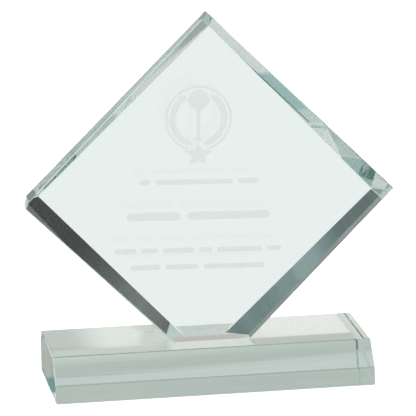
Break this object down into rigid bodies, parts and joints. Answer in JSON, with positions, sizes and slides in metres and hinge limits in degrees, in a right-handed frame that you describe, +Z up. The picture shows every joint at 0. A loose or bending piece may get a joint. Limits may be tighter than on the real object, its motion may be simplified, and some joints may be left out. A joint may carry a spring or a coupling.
{
  "type": "diamond glass award",
  "caption": "Square plate of thick jade-tinted glass, bevelled at the back, standing on a corner on a long low glass block; free-standing award.",
  "frame": {"origin": "middle of the block's underside, the face that rests on the table", "axes": "+Z up, -Y out of the engraved front face towards the reader, +X to the reader's right"},
  "size_m": [0.1852, 0.0609, 0.1879],
  "materials": {
    "plate_glass": "polished, pale jade tint",
    "block_glass": "polished, pale jade tint",
    "cured_adhesive": "thin clear film with a slight haze"
  },
  "bodies": {
    "root": {"diamond_plate": "plate_glass", "base_block": "block_glass", "bond_film": "cured_adhesive"}
  },
  "joints": []
}
